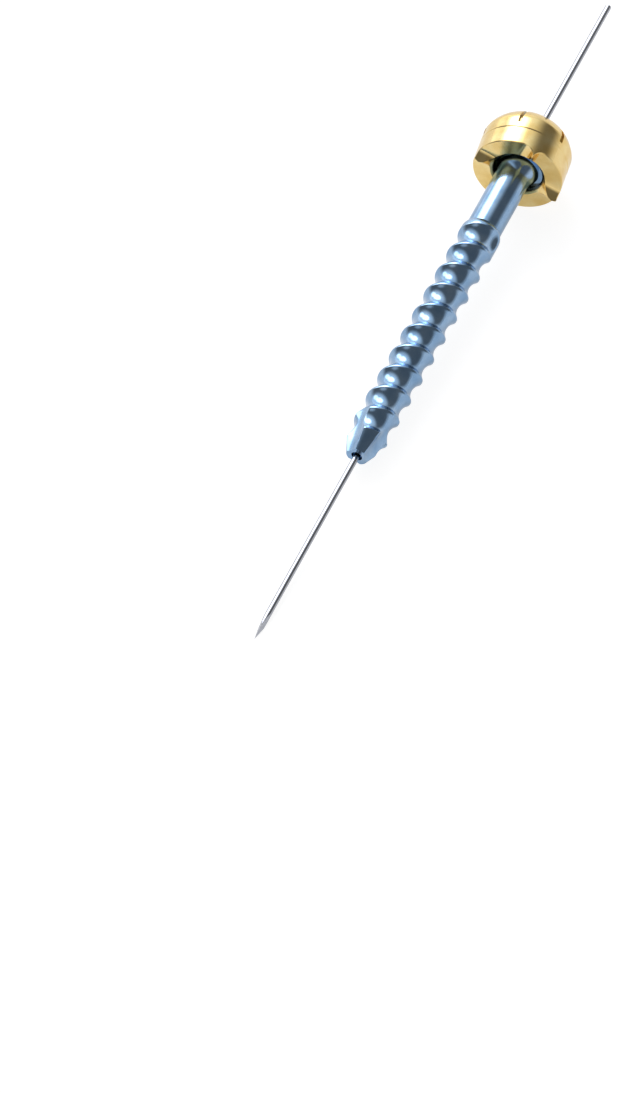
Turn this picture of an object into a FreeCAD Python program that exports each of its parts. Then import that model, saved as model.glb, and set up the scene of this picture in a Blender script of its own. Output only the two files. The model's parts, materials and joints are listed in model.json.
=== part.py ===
import FreeCAD, Part
import math
import os

from FreeCAD import Vector

# Facet screw with a ball head in a two-ring toothed washer, on its guide wire.
# Millimetres. The whole lies on a table at z = 0, wire and screw along +X, tip towards -X.
# Each piece is drawn in its own axes: +Z along its axis towards the rear, +X up at rest,
# and the centre of the ball head at the origin. It is laid down at the end.

# Screw, along its axis from the ball centre
TIP_Z = -51.6
TIP_FACE_R = 1.42
TIP_CONE_DEG = 21.4
THREAD_R = 2.63
THREAD_PITCH = 3.55
GROOVE_DEPTH = 0.63
CREST_LAND = 0.30
THREAD_PHASE_Z = -15.34
THREAD_TURNS = 10
GROOVE_END_DEG = 60.0
SHOULDER_Z = -13.64
SHANK_START_Z = -12.56
SHOULDER_ARC_R = 1.9
SHANK_R = 2.25
NECK_START_Z = -3.88
COLLAR_LOW_Z = -2.70
COLLAR_LOW_R = 2.50
COLLAR_TOP_R = 2.82
BALL_LOW_Z = -1.70
BALL_R = 3.75
HEAD_TOP_Z = 2.30
HEAD_EDGE = 0.15
SOCKET_FLATS = 3.5
SOCKET_FLOOR_Z = -0.40
SOCKET_LEAD_IN = 0.10
SOCKET_CONE_RISE = 0.90

# Wire bore through the screw
WIRE_R = 0.40
WIRE_CLEARANCE = 0.05
MOUTH_R = 0.72
MOUTH_DEPTH = 1.2

# Cutting flutes at the tip
FLUTE_COUNT = 3
FLUTE_R = 3.0
FLUTE_TIP_DEPTH_R = 1.15
FLUTE_RUNOUT = 7.9
LAND_DEG = 19.1
BLANK_SEAM_DEG = 133.0

# Washer, along its axis from the seam plane, which holds the ball centre
WASHER_R = 5.80
FLOOR_Z = -2.69
TOOTH_HEIGHT = 1.30
TOOTH_INNER_HEIGHT = 1.05
TOOTH_RIM_HEIGHT = 1.08
TOOTH_PEAK_R = 5.20
FLANK_TOP_HEIGHT = 1.38
FLANK_HALF_WIDTH = 1.65
TOOTH_COUNT = 4
TOOTH_DEG = 24.0
MOUTH_CONE_R = 3.55
RING_BORE_R = 3.28
SEAT_CLEARANCE = 0.04
SEAM_CHAMFER = 0.10
SPIGOT_R = 4.75
SPIGOT_DEPTH = 0.97
SPIGOT_GAP = 0.05
SPIGOT_END_GAP = 0.03
BAND_TOP_Z = 1.90
DOME_ARC_R = 4.5
BACK_Z = 4.47
BACK_EDGE_R = 3.88
ACCESS_R = 3.0
ACCESS_BACK_R = 3.45
ACCESS_CHAMFER = 0.15
SLOT_COUNT = 6
SLOT_FIRST_DEG = 52.5
SLOT_WIDTH = 0.50
SLOT_START_Z = 0.85
SLOT_DEPTH = 0.35
SLOT_FLOOR_BENDS = [(5.05, 2.80), (4.25, 3.60), (2.60, 4.10)]

# Guide wire
WIRE_TIP_Z = -82.4
WIRE_END_Z = 27.27
WIRE_POINT_LENGTH = 4.2
WIRE_FACETS = 3
WIRE_FACET_DEG = 180.0
WIRE_END_CHAMFER = 0.06

# How the parts lie at rest
SCREW_PITCH_DEG = 3.916
WASHER_YAW_DEG = 7.8

# How far a cutting tool reaches past the surface that it cuts
OVERCUT = 1.0
SLIGHT_OVERCUT = 0.05
GROOVE_OVERCUT = 0.08


def revolve(face):
    return face.revolve(Vector(0, 0, 0), Vector(0, 0, 1), 360)


def face_of(edges):
    return Part.Face(Part.Wire(edges))


def line(a, b):
    return Part.makeLine(Vector(a[0], 0, a[1]), Vector(b[0], 0, b[1]))


def arc(a, through, b):
    return Part.Arc(Vector(a[0], 0, a[1]), Vector(through[0], 0, through[1]), Vector(b[0], 0, b[1])).toShape()


def chain(points):
    return [line(points[i], points[i + 1]) for i in range(len(points) - 1)]


def sphere_r(radius, z):
    # Radius of a ball's section at height z above its centre
    return math.sqrt(radius * radius - z * z)


def on_sphere(radius, z):
    return (sphere_r(radius, z), z)


def sagitta_point(a, b, radius, side):
    # Middle point of the arc of the given radius from a to b, bulging to the given side
    mid = ((a[0] + b[0]) / 2.0, (a[1] + b[1]) / 2.0)
    dx = b[0] - a[0]
    dz = b[1] - a[1]
    chord = math.hypot(dx, dz)
    rise = radius - math.sqrt(radius * radius - chord * chord / 4.0)
    return (mid[0] + side * rise * dz / chord, mid[1] - side * rise * dx / chord)


def turned(shape, degrees):
    copy = shape.copy()
    copy.rotate(Vector(0, 0, 0), Vector(0, 0, 1), degrees)
    return copy


def screw_blank():
    # Cone tip, thread cylinder, run-out shoulder, shank, neck, collar and ball, turned in one piece
    cone_length = (THREAD_R - TIP_FACE_R) / math.tan(math.radians(TIP_CONE_DEG))
    cone_top = (THREAD_R, TIP_Z + cone_length)
    shoulder = (THREAD_R, SHOULDER_Z)
    shank_low = (SHANK_R, SHANK_START_Z)
    shank_top = (SHANK_R, NECK_START_Z)
    collar_low = (COLLAR_LOW_R, COLLAR_LOW_Z)
    rise = COLLAR_LOW_R - SHANK_R
    run = COLLAR_LOW_Z - NECK_START_Z
    flare_r = (run * run + rise * rise) / (2.0 * rise)
    ball_low = on_sphere(BALL_R, BALL_LOW_Z)
    head_side = on_sphere(BALL_R, HEAD_TOP_Z - HEAD_EDGE)
    edges = chain([(0.0, TIP_Z), (TIP_FACE_R, TIP_Z), cone_top, shoulder])
    edges.append(arc(shoulder, sagitta_point(shoulder, shank_low, SHOULDER_ARC_R, 1), shank_low))
    edges.append(line(shank_low, shank_top))
    edges.append(arc(shank_top, sagitta_point(shank_top, collar_low, flare_r, 1), collar_low))
    edges += chain([collar_low, (COLLAR_TOP_R, BALL_LOW_Z), ball_low])
    edges.append(arc(ball_low, (BALL_R, 0.0), head_side))
    edges += chain([head_side, (head_side[0] - 2.0 * HEAD_EDGE, HEAD_TOP_Z), (0.0, HEAD_TOP_Z), (0.0, TIP_Z)])
    return revolve(face_of(edges))


def groove_radius():
    half = (THREAD_PITCH - CREST_LAND) / 2.0
    return (half * half + GROOVE_DEPTH * GROOVE_DEPTH) / (2.0 * GROOVE_DEPTH)


def groove_cutter():
    # The thread's round groove: a lens-shaped section carried along a right-handed helix
    radius = groove_radius()
    centre_r = THREAD_R - GROOVE_DEPTH + radius
    top_r = THREAD_R + GROOVE_OVERCUT
    half = math.sqrt(radius * radius - (centre_r - top_r) ** 2)
    start_z = THREAD_PHASE_Z - THREAD_TURNS * THREAD_PITCH
    height = THREAD_PITCH * (THREAD_TURNS + GROOVE_END_DEG / 360.0)
    helix = Part.makeHelix(THREAD_PITCH, height, THREAD_R)
    helix.translate(Vector(0, 0, start_z))
    low = (top_r, start_z - half)
    bottom = (centre_r - radius, start_z)
    high = (top_r, start_z + half)
    section = Part.Wire([arc(low, bottom, high), line(high, low)])
    sweep = Part.BRepOffsetAPI.MakePipeShell(Part.Wire(helix.Edges))
    sweep.setBiNormalMode(Vector(0, 0, 1))
    sweep.add(section)
    sweep.build()
    sweep.makeSolid()
    return sweep.shape()


def groove_end_cutter():
    # The groove ends where the round cutter left it: a hollow of the groove's own radius
    radius = groove_radius()
    centre_r = THREAD_R - GROOVE_DEPTH + radius
    angle = math.radians(GROOVE_END_DEG)
    z = THREAD_PHASE_Z + THREAD_PITCH * GROOVE_END_DEG / 360.0
    return Part.makeSphere(radius, Vector(centre_r * math.cos(angle), centre_r * math.sin(angle), z))


def flute_cutter(degrees):
    # A round channel that is deepest at the tip and climbs out of the thread
    slope = (THREAD_R - FLUTE_TIP_DEPTH_R) / FLUTE_RUNOUT
    lead = FLUTE_R
    start_r = FLUTE_TIP_DEPTH_R + FLUTE_R - lead * slope
    length = FLUTE_RUNOUT + 2.0 * lead + 2.0 * OVERCUT
    tool = Part.makeCylinder(FLUTE_R, length, Vector(start_r, 0, TIP_Z - lead), Vector(slope, 0, 1))
    return turned(tool, degrees)


def bore_cutter():
    # Wire bore with a wide mouth at the tip and a cone up into the socket
    bore_r = WIRE_R + WIRE_CLEARANCE
    mouth_z = TIP_Z + MOUTH_DEPTH
    cone_r = bore_r + SOCKET_CONE_RISE
    start_z = TIP_Z - OVERCUT
    points = [(0.0, start_z), (MOUTH_R, start_z), (MOUTH_R, mouth_z)]
    points += [(bore_r, mouth_z + MOUTH_R - bore_r), (bore_r, SOCKET_FLOOR_Z - SOCKET_CONE_RISE)]
    points += [(cone_r, SOCKET_FLOOR_Z), (cone_r, SOCKET_FLOOR_Z + OVERCUT)]
    points += [(0.0, SOCKET_FLOOR_Z + OVERCUT), (0.0, start_z)]
    return revolve(face_of(chain(points)))


def socket_cutter():
    corner_r = SOCKET_FLATS / math.sqrt(3.0)
    corners = []
    for i in range(7):
        angle = math.radians(60.0 * i)
        corners.append(Vector(corner_r * math.cos(angle), corner_r * math.sin(angle), SOCKET_FLOOR_Z))
    hexagon = Part.Face(Part.makePolygon(corners))
    prism = hexagon.extrude(Vector(0, 0, HEAD_TOP_Z - SOCKET_FLOOR_Z + OVERCUT))
    reach = corner_r - SOCKET_FLATS / 2.0 + SOCKET_LEAD_IN
    start = Vector(0, 0, HEAD_TOP_Z - reach - SOCKET_LEAD_IN)
    lead_in = Part.makeCone(corner_r - reach, corner_r + reach, 2.0 * reach, start)
    return prism.fuse(lead_in)


def make_screw():
    # The blank's own seam is turned clear of the groove's start
    body = turned(screw_blank(), BLANK_SEAM_DEG)
    body = body.cut(groove_cutter())
    body = body.cut(groove_end_cutter())
    for i in range(FLUTE_COUNT):
        step = 360.0 / FLUTE_COUNT
        body = body.cut(flute_cutter(LAND_DEG + step / 2.0 + step * i))
    body = body.cut(bore_cutter())
    body = body.cut(socket_cutter())
    return body


def tooth_pocket(degrees):
    # The hollow between two teeth: a flat floor with a round flank along each tooth
    flank_r = (FLANK_HALF_WIDTH ** 2 + FLANK_TOP_HEIGHT ** 2) / (2.0 * FLANK_TOP_HEIGHT)
    crest_z = FLOOR_Z - FLANK_TOP_HEIGHT
    below = crest_z - OVERCUT
    far = WASHER_R + OVERCUT
    crest = (0.0, crest_z)
    foot = (FLANK_HALF_WIDTH, FLOOR_Z)
    edges = [arc(crest, sagitta_point(crest, foot, flank_r, -1), foot)]
    edges += chain([foot, (far, FLOOR_Z), (far, below), (0.0, below), crest])
    flat = face_of(edges)
    flat.translate(Vector(0, -far, 0))
    beside_one = flat.extrude(Vector(0, 2.0 * far, 0))
    beside_next = beside_one.mirror(Vector(0, 0, 0), Vector(1, -1, 0))
    return turned(beside_one.common(beside_next), degrees)


def make_toothed_ring():
    seat_r = BALL_R + SEAT_CLEARANCE
    bore_r = SPIGOT_R + SPIGOT_GAP
    step_z = -SPIGOT_DEPTH - SPIGOT_END_GAP
    step = on_sphere(seat_r, step_z)
    mouth = (RING_BORE_R, -sphere_r(seat_r, RING_BORE_R))
    middle = on_sphere(seat_r, (step[1] + mouth[1]) / 2.0)
    cone_top = (RING_BORE_R, FLOOR_Z + MOUTH_CONE_R - RING_BORE_R)
    cone_low = (MOUTH_CONE_R + TOOTH_INNER_HEIGHT, FLOOR_Z - TOOTH_INNER_HEIGHT)
    peak = (TOOTH_PEAK_R, FLOOR_Z - TOOTH_HEIGHT)
    rim = (WASHER_R, FLOOR_Z - TOOTH_RIM_HEIGHT)
    edges = chain([cone_low, peak, rim, (WASHER_R, -SEAM_CHAMFER), (WASHER_R - SEAM_CHAMFER, 0.0)])
    edges += chain([(WASHER_R - SEAM_CHAMFER, 0.0), (bore_r, 0.0), (bore_r, step_z), step])
    edges.append(arc(step, middle, mouth))
    edges += chain([mouth, cone_top, cone_low])
    ring = revolve(face_of(edges))
    for i in range(TOOTH_COUNT):
        ring = ring.cut(tooth_pocket(TOOTH_DEG + 360.0 / TOOTH_COUNT * i))
    return ring


def slot_cutter(degrees):
    # A saw slot that follows the dome at an even depth from the band to the access hole
    outer = WASHER_R + OVERCUT
    above = BACK_Z + OVERCUT
    floor_r = WASHER_R - SLOT_DEPTH
    points = [(outer, SLOT_START_Z), (floor_r, SLOT_START_Z), (floor_r, BAND_TOP_Z)]
    points += SLOT_FLOOR_BENDS
    points += [(SLOT_FLOOR_BENDS[-1][0], above), (outer, above), (outer, SLOT_START_Z)]
    flat = face_of(chain(points))
    flat.translate(Vector(0, -SLOT_WIDTH / 2.0, 0))
    return turned(flat.extrude(Vector(0, SLOT_WIDTH, 0)), degrees)


def make_cap_ring():
    seat_r = BALL_R + SEAT_CLEARANCE
    spigot_low = on_sphere(seat_r, -SPIGOT_DEPTH)
    access_low = (ACCESS_R, sphere_r(seat_r, ACCESS_R))
    band_top = (WASHER_R, BAND_TOP_Z)
    dome_end = (BACK_EDGE_R, BACK_Z)
    back_in = (ACCESS_BACK_R + ACCESS_CHAMFER, BACK_Z)
    access_top = (ACCESS_BACK_R, BACK_Z - ACCESS_CHAMFER)
    edges = chain([spigot_low, (SPIGOT_R, -SPIGOT_DEPTH), (SPIGOT_R, 0.0), (WASHER_R - SEAM_CHAMFER, 0.0)])
    edges += chain([(WASHER_R - SEAM_CHAMFER, 0.0), (WASHER_R, SEAM_CHAMFER), band_top])
    edges.append(arc(band_top, sagitta_point(band_top, dome_end, DOME_ARC_R, 1), dome_end))
    edges += chain([dome_end, back_in, access_top, access_low])
    edges.append(arc(access_low, (seat_r, 0.0), spigot_low))
    ring = revolve(face_of(edges))
    for i in range(SLOT_COUNT):
        ring = ring.cut(slot_cutter(SLOT_FIRST_DEG + 360.0 / SLOT_COUNT * i))
    return ring


def make_guide_wire():
    # Straight wire with a ground three-facet point; at rest one facet faces the table
    length = WIRE_END_Z - WIRE_TIP_Z
    wire = Part.makeCylinder(WIRE_R, length - WIRE_END_CHAMFER, Vector(0, 0, WIRE_TIP_Z))
    end_r = WIRE_R - WIRE_END_CHAMFER
    end = Part.makeCone(WIRE_R, end_r, WIRE_END_CHAMFER, Vector(0, 0, WIRE_END_Z - WIRE_END_CHAMFER))
    wire = wire.fuse(end)
    slope = WIRE_R / WIRE_POINT_LENGTH
    reach = 1.5 * WIRE_POINT_LENGTH
    low = (-SLIGHT_OVERCUT * slope, WIRE_TIP_Z - SLIGHT_OVERCUT)
    high = (reach * slope, WIRE_TIP_Z + reach)
    for i in range(WIRE_FACETS):
        wedge = face_of(chain([low, (high[0], low[1]), high, low]))
        wedge.translate(Vector(0, -OVERCUT, 0))
        facet = wedge.extrude(Vector(0, 2.0 * OVERCUT, 0))
        wire = wire.cut(turned(facet, WIRE_FACET_DEG + 360.0 / WIRE_FACETS * i))
    return wire.removeSplitter()


def lay_down(shape, axis, height):
    # Turn a piece so that its own Z follows the given axis and its own X stays uppermost
    up = Vector(0, 0, 1) - axis * axis.z
    up.normalize()
    side = axis.cross(up)
    matrix = FreeCAD.Matrix(
        up.x, side.x, axis.x, 0.0,
        up.y, side.y, axis.y, 0.0,
        up.z, side.z, axis.z, height,
        0.0, 0.0, 0.0, 1.0,
    )
    laid = shape.copy()
    laid.Placement = FreeCAD.Placement(matrix)
    return laid


pitch = math.radians(SCREW_PITCH_DEG)
yaw = math.radians(WASHER_YAW_DEG)
screw_axis = Vector(math.cos(pitch), 0, math.sin(pitch))
washer_axis = Vector(math.cos(yaw), math.sin(yaw), 0)

# The washer lies on its round side, so the ball centre is one washer radius above the table
parts = {
    "screw": lay_down(make_screw(), screw_axis, WASHER_R),
    "washer_toothed_ring": lay_down(make_toothed_ring(), washer_axis, WASHER_R),
    "washer_cap_ring": lay_down(make_cap_ring(), washer_axis, WASHER_R),
    "guide_wire": lay_down(make_guide_wire(), screw_axis, WASHER_R),
}

# The frame's origin is on the table under the middle of the whole
box = Part.makeCompound(list(parts.values())).optimalBoundingBox(False)
shift = Vector(-(box.XMin + box.XMax) / 2.0, -(box.YMin + box.YMax) / 2.0, -box.ZMin)

os.makedirs("parts", exist_ok=True)
for name, shape in parts.items():
    shape.translate(shift)
    shape.exportStep("parts/" + name + ".step")
    print(name, shape.isValid(), "solids", len(shape.Solids), "volume", round(shape.Volume, 3))
print("ball centre", shift.x, shift.y, WASHER_R + shift.z)
print("box", box.XLength, box.YLength, box.ZLength)
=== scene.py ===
# %% [markdown]
# # A facet screw on its guide wire
# The real object is a small implant: a hollow, blue anodised titanium screw whose ball head sits in a
# gold anodised toothed washer, pushed over a thin steel guide wire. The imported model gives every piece
# its place. This lesson dresses it: each piece becomes a dense, smooth surface, so that polished metal
# reflects cleanly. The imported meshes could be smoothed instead, but their long, thin triangles would
# show in the reflections.

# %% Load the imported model
import json
import math

import bmesh
import bpy
import numpy as np
from mathutils import Matrix, Vector


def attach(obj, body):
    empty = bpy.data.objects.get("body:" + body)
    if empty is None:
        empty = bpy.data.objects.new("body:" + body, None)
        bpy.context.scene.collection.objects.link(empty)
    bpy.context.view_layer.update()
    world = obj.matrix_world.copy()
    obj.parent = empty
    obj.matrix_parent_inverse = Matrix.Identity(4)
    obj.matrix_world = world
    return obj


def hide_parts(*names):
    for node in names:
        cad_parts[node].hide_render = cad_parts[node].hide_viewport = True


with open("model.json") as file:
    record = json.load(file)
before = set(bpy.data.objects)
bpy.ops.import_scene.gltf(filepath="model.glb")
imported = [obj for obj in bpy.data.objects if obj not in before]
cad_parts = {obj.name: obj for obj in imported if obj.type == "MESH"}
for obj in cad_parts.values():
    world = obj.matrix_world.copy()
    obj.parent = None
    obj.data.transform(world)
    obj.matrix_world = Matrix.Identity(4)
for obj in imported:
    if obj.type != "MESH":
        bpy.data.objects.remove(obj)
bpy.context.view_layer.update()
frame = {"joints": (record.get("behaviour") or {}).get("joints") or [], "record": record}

MM = 0.001

# %% [markdown]
# ## Own axes for each piece
# A turned part is easiest to describe in its own axes: z along its axis towards the rear, x uppermost,
# and the ball's centre at zero, in millimetres. The joints and mounts of the record say where those axes
# lie. The objects could be turned into place, but a finished piece stays unturned at the origin, so its
# points are turned instead.

# %% Axes from the record
joints = {joint["name"]: joint for joint in frame["joints"]}
mounts = {mount["name"]: mount for mount in frame["record"]["mounts"]}
BALL_CENTRE = np.array(joints["washer_tilt"]["pos_m"], float)
SCREW_AXIS = np.array(joints["wire_slide"]["axis"], float)
WASHER_AXIS = -np.array(mounts["washer_teeth"]["axis"], float)


def own_axes(axis):
    """Rows are the piece's x, y and z in the shared frame: x is world up made square to the axis."""
    up = np.array([0.0, 0.0, 1.0]) - axis * axis[2]
    up /= np.linalg.norm(up)
    return np.stack([up, np.cross(axis, up), axis])


print("screw axis", SCREW_AXIS.round(4), "washer axis", WASHER_AXIS.round(4))

# %% [markdown]
# ## From a grid to a mesh
# Every piece is a grid of points: one direction runs round the axis, the other follows the profile. A
# Screw modifier could spin the plain profiles, but the thread and the teeth need a radius or a height
# that changes round the axis, and a grid gives both in the same way. Where two rows fall on the same
# circle the doubles are merged, so the mesh is closed. The points are kept once more as an attribute
# called own, in millimetres, because the materials follow the part's own axes and not the room's. A
# second attribute marks the floors of saw cuts, where the gold material paints shade.

# %% Grid faces
def grid_faces(columns, rows, closed_profile=True, shift=0):
    """Quads of a grid whose column c, row r is vertex c * rows + r. The last column joins the first,
    shift rows further on, as a helix does; a closed profile joins the last row to the first."""
    column = np.arange(columns)[:, None]
    row = np.arange(rows if closed_profile else rows - 1)[None, :]
    beside = (column + 1) % columns
    step = np.where(column == columns - 1, shift, 0)
    near = (row + step, row + 1 + step)
    if closed_profile:
        near = (near[0] % rows, near[1] % rows)
    # Rows past the end fold onto the last one, and vanish when the doubles are merged.
    near = tuple(np.minimum(r, rows - 1) for r in near)
    above = (row + 1) % rows
    this_side, far_side = column * rows, beside * rows
    quads = [this_side + row, far_side + near[0], far_side + near[1], this_side + above]
    return np.stack(np.broadcast_arrays(*quads), axis=-1).reshape(-1, 4)


# %% Mesh from a grid
SHARP_DEG = 24.0
MERGE_MM = 2e-5


def make_piece(name, node, body, axis, points, faces, slot_floor_shade=0.0):
    """Points in the piece's own millimetres become a closed, smooth mesh that replaces the CAD node.
    Its last argument is 1 on the floors of saw cuts, where the material paints shade, and 0 elsewhere."""
    mesh = bpy.data.meshes.new(name)
    mesh.from_pydata(points.reshape(-1, 3).tolist(), [], faces.tolist())
    cut = np.broadcast_to(slot_floor_shade, points.shape[:-1]).astype(np.float32).ravel()
    mesh.attributes.new("slot_floor_shade", "FLOAT", "POINT").data.foreach_set("value", cut)
    work = bmesh.new()
    work.from_mesh(mesh)
    bmesh.ops.remove_doubles(work, verts=work.verts, dist=MERGE_MM)
    bmesh.ops.dissolve_degenerate(work, edges=work.edges, dist=MERGE_MM)
    bmesh.ops.recalc_face_normals(work, faces=work.faces)
    work.to_mesh(mesh)
    work.free()
    own = np.empty(3 * len(mesh.vertices), np.float32)
    mesh.vertices.foreach_get("co", own)
    mesh.attributes.new("own", "FLOAT_VECTOR", "POINT").data.foreach_set("vector", own)
    placed = BALL_CENTRE + MM * own.reshape(-1, 3) @ own_axes(axis)
    mesh.vertices.foreach_set("co", placed.astype(np.float32).ravel())
    mesh.shade_smooth()
    mesh.set_sharp_from_angle(angle=math.radians(SHARP_DEG))
    mesh.update()
    piece = bpy.data.objects.new(name, mesh)
    bpy.context.scene.collection.objects.link(piece)
    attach(piece, body)
    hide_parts(node)
    triangles = sum(len(p.vertices) - 2 for p in mesh.polygons)
    print(name, "has", triangles, "triangles")
    return piece


# %% [markdown]
# ## Profiles
# A lathe part is a profile carried round its axis. The profile is a list of radius and height pairs,
# with straight runs and arcs of a given radius, as on the drawing of the part. It could be drawn as a
# curve by hand, but arcs of a known radius keep the real sizes in sight.

# %% Profile helpers
def run(a, b, steps):
    """Points from a to b in even steps, without a itself."""
    share = np.linspace(0.0, 1.0, steps + 1)[1:, None]
    return np.array(a) + share * (np.array(b) - np.array(a))


def bow(a, b, radius, side, steps):
    """Points of the arc of that radius from a to b, without a. Seen from a to b, side 1 bows to the right
    and -1 to the left."""
    a, b = np.array(a, float), np.array(b, float)
    chord = np.linalg.norm(b - a)
    normal = side * np.array([b[1] - a[1], a[0] - b[0]]) / chord
    centre = (a + b) / 2.0 - normal * math.sqrt(radius * radius - chord * chord / 4.0)
    whole_angle = side * 2.0 * math.asin(chord / (2.0 * radius))
    angle = whole_angle * np.linspace(0.0, 1.0, steps + 1)[1:, None]
    arm = a - centre
    return centre + np.cos(angle) * arm + np.sin(angle) * np.array([-arm[1], arm[0]])


def on_ball(radius, z):
    """The point of a ball's outline at that height."""
    return (math.sqrt(radius * radius - z * z), z)


def soft_min(a, b, blend):
    """The smaller of two heights, with the edge between them rounded: where they differ by less than
    blend, it sinks by a quarter of blend times the square of their nearness."""
    near = np.maximum(blend - np.abs(a - b), 0.0) / blend
    return np.minimum(a, b) - near * near * blend / 4.0


# %% [markdown]
# ## The screw
# The thread was cut into a turned blank by a round-nosed tool that climbed along a right-handed helix,
# and three round flutes were milled into the tip. Boolean cuts could do the same, but they leave slivers
# along the crests, which a mirror shows. So the surface is the smallest of several radii at every angle
# and height: the blank, the groove, the hollow where the tool left the work, and the flutes. The rows of
# the grid climb with the helix, which puts the narrow crests exactly on rows of points. Polishing has
# broken the edges, so the radii blend where they meet.

# %% Sizes of the screw
TIP_Z = -51.6
TIP_FACE_R = 1.42
TIP_CONE_DEG = 21.4
THREAD_R = 2.63
THREAD_PITCH = 3.55
GROOVE_DEPTH = 0.63
CREST_LAND = 0.30
THREAD_PHASE_Z = -15.34
GROOVE_END_DEG = 60.0
SHOULDER_Z = -13.64
SHANK_START_Z = -12.56
SHOULDER_ARC_R = 1.9
SHANK_R = 2.25
FLUTE_COUNT = 3
FLUTE_R = 3.0
FLUTE_TIP_DEPTH_R = 1.15
FLUTE_RUNOUT = 7.9
LAND_DEG = 19.1
EDGE_BLEND = 0.08
HOLLOW_BLEND = 0.26
SCREW_COLUMNS = 192
SCREW_TOP_Z = SHANK_START_Z

# %% Radius of the blank
SHOULDER_STEPS = 24


def blank_radius(z):
    """Cone at the tip, cylinder over the thread, then a bowed shoulder down to the shank."""
    cone_top = TIP_Z + (THREAD_R - TIP_FACE_R) / math.tan(math.radians(TIP_CONE_DEG))
    start = [(TIP_FACE_R, TIP_Z), (THREAD_R, cone_top), (THREAD_R, SHOULDER_Z)]
    shoulder = bow(start[2], (SHANK_R, SHANK_START_Z), SHOULDER_ARC_R, 1, SHOULDER_STEPS)
    outline = np.vstack([start, shoulder, [(SHANK_R, 0.0)]])
    return np.interp(z, outline[:, 1], outline[:, 0])


# %% Radius of the groove
# Where a cutter doesn't reach, its radius is set to one that lies outside the blank.
NO_CUT_R = 9.0
GROOVE_HALF = (THREAD_PITCH - CREST_LAND) / 2.0
GROOVE_R = (GROOVE_HALF ** 2 + GROOVE_DEPTH ** 2) / (2.0 * GROOVE_DEPTH)
GROOVE_CENTRE_R = THREAD_R - GROOVE_DEPTH + GROOVE_R
print("radius of the groove's tool", round(GROOVE_R, 3), "mm")


def groove_radius(theta, z):
    """Radius of the round groove: its centre's distance from the axis, less the root of its own radius
    squared minus the offset squared. The centre climbs one pitch a turn, up to the groove's end."""
    turns = (z - THREAD_PHASE_Z) / THREAD_PITCH - theta / (2.0 * np.pi)
    strand = np.round(turns)
    last_strand = np.floor(GROOVE_END_DEG / 360.0 - theta / (2.0 * np.pi))
    strand = np.minimum(strand, last_strand)
    offset = THREAD_PITCH * (turns - strand)
    inside = GROOVE_R ** 2 - offset ** 2
    radius = GROOVE_CENTRE_R - np.sqrt(np.maximum(inside, 0.0))
    return np.where(inside > 0.0, radius, NO_CUT_R)


# %% Radius of the hollow where the groove ends
def groove_end_radius(theta, z):
    """Radius of the ball-shaped hollow at the groove's end: where a ray from the axis first meets it."""
    along = GROOVE_CENTRE_R * np.cos(theta - math.radians(GROOVE_END_DEG))
    height = z - THREAD_PHASE_Z - THREAD_PITCH * GROOVE_END_DEG / 360.0
    inside = along ** 2 - (GROOVE_CENTRE_R ** 2 + height ** 2 - GROOVE_R ** 2)
    radius = along - np.sqrt(np.maximum(inside, 0.0))
    return np.where((inside > 0.0) & (along > 0.0), radius, NO_CUT_R)


# %% Radius of a flute
def flute_radius(theta, z, flute_deg):
    """Radius of one flute, a cylinder whose axis leans outwards as it leaves the tip: where a ray from
    the screw's axis first meets it."""
    slope = (THREAD_R - FLUTE_TIP_DEPTH_R) / FLUTE_RUNOUT
    stretch = 1.0 + slope * slope
    axis_r = FLUTE_TIP_DEPTH_R + FLUTE_R + slope * (z - TIP_Z)
    psi = theta - math.radians(flute_deg)
    c, s = np.cos(psi), np.sin(psi)
    square = c ** 2 + s ** 2 * stretch
    inside = (c * axis_r) ** 2 - square * (axis_r ** 2 - FLUTE_R ** 2 * stretch)
    radius = (c * axis_r - np.sqrt(np.maximum(inside, 0.0))) / square
    return np.where((inside > 0.0) & (c > 0.0), radius, NO_CUT_R)


# %% Rows that climb with the thread
CREST_ROWS = np.array([-0.045, -0.015, 0.0, 0.02, 0.05])
FLOOR_ROW_COUNT = 22
SPARE_TURNS = 2
edge_rows = GROOVE_HALF + CREST_ROWS
floor_rows = np.linspace(-edge_rows[0], edge_rows[0], FLOOR_ROW_COUNT)
past_edge = edge_rows[1:]
one_pitch = np.concatenate([-past_edge[::-1], floor_rows, past_edge, [THREAD_PITCH / 2.0]])
first_turn = math.floor((TIP_Z - THREAD_PHASE_Z) / THREAD_PITCH) - SPARE_TURNS
last_turn = math.ceil((SCREW_TOP_Z - THREAD_PHASE_Z) / THREAD_PITCH) + SPARE_TURNS
turn_z = THREAD_PITCH * np.arange(first_turn, last_turn)[:, None]
climb = (one_pitch[None, :] + turn_z).ravel()
theta = 2.0 * np.pi * np.arange(SCREW_COLUMNS)[:, None] / SCREW_COLUMNS
thread_z = THREAD_PHASE_Z + climb[None, :] + THREAD_PITCH * theta / (2.0 * np.pi)
# Rows beyond either end fold onto it, and vanish when the doubles are merged.
thread_z = np.clip(thread_z, TIP_Z, SCREW_TOP_Z)

# %% Carve the blank
blank_r = blank_radius(thread_z)
thread_r = soft_min(blank_r, groove_radius(theta, thread_z), EDGE_BLEND)
hollow_r = soft_min(blank_r, groove_end_radius(theta, thread_z), HOLLOW_BLEND)
thread_r = np.minimum(thread_r, hollow_r)
for flute in range(FLUTE_COUNT):
    flute_deg = LAND_DEG + (flute + 0.5) * 360.0 / FLUTE_COUNT
    thread_r = soft_min(thread_r, flute_radius(theta, thread_z, flute_deg), EDGE_BLEND)
print("thread rows", thread_z.shape[1], "smallest radius", round(float(thread_r.min()), 3))

# %% [markdown]
# ## Head, socket and bore of the screw
# Past the thread the screw is plainly turned: shank, neck, collar and ball. The ball's end has a
# six-sided driver socket, and the bore for the wire runs back to the tip, so the profile closes on
# itself. The socket could be cut with a hexagonal prism. Here its radius follows the six flats round the
# axis, so that the same columns of points serve from end to end.

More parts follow.
